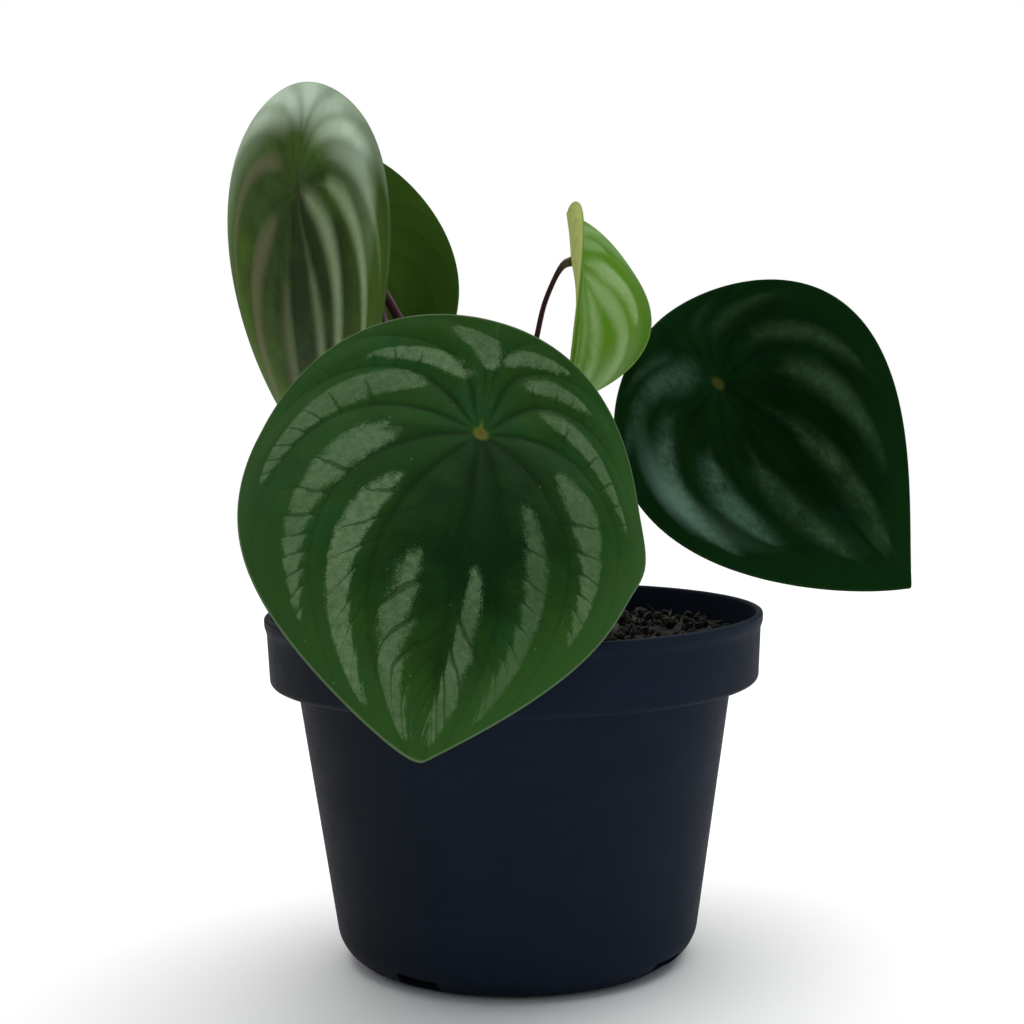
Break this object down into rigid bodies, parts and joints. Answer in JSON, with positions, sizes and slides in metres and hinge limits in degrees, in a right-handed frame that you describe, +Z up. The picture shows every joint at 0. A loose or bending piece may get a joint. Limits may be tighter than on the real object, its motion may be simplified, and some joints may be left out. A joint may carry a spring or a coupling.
{
  "type": "potted peperomia",
  "caption": "Watermelon peperomia house plant with shield-shaped striped leaves on dark stalks, in a round nursery pot with a stepped collar, filled with soil.",
  "frame": {"origin": "centre of the pot's flat base, on the surface that it stands on", "axes": "+Z up the pot's axis; the plant's front, with the large leaf that hangs over the rim, faces -Y; +X to the viewer's right"},
  "size_m": [0.1774, 0.1888, 0.2126],
  "materials": {
    "pot_plastic": "satin",
    "soil": "matte",
    "crown": "matte",
    "leaf_stalk": "satin",
    "leaf": "satin",
    "young_leaf": "satin"
  },
  "bodies": {
    "root": {"pot": "pot_plastic", "soil": "soil", "crown": "crown", "leaf_stalk_1": "leaf_stalk", "leaf_stalk_2": "leaf_stalk", "leaf_stalk_3": "leaf_stalk", "leaf_stalk_4": "leaf_stalk", "leaf_stalk_5": "leaf_stalk", "leaf_1": "leaf", "leaf_2": "leaf", "leaf_3": "leaf", "leaf_4": "young_leaf", "leaf_5": "leaf"}
  },
  "joints": []
}
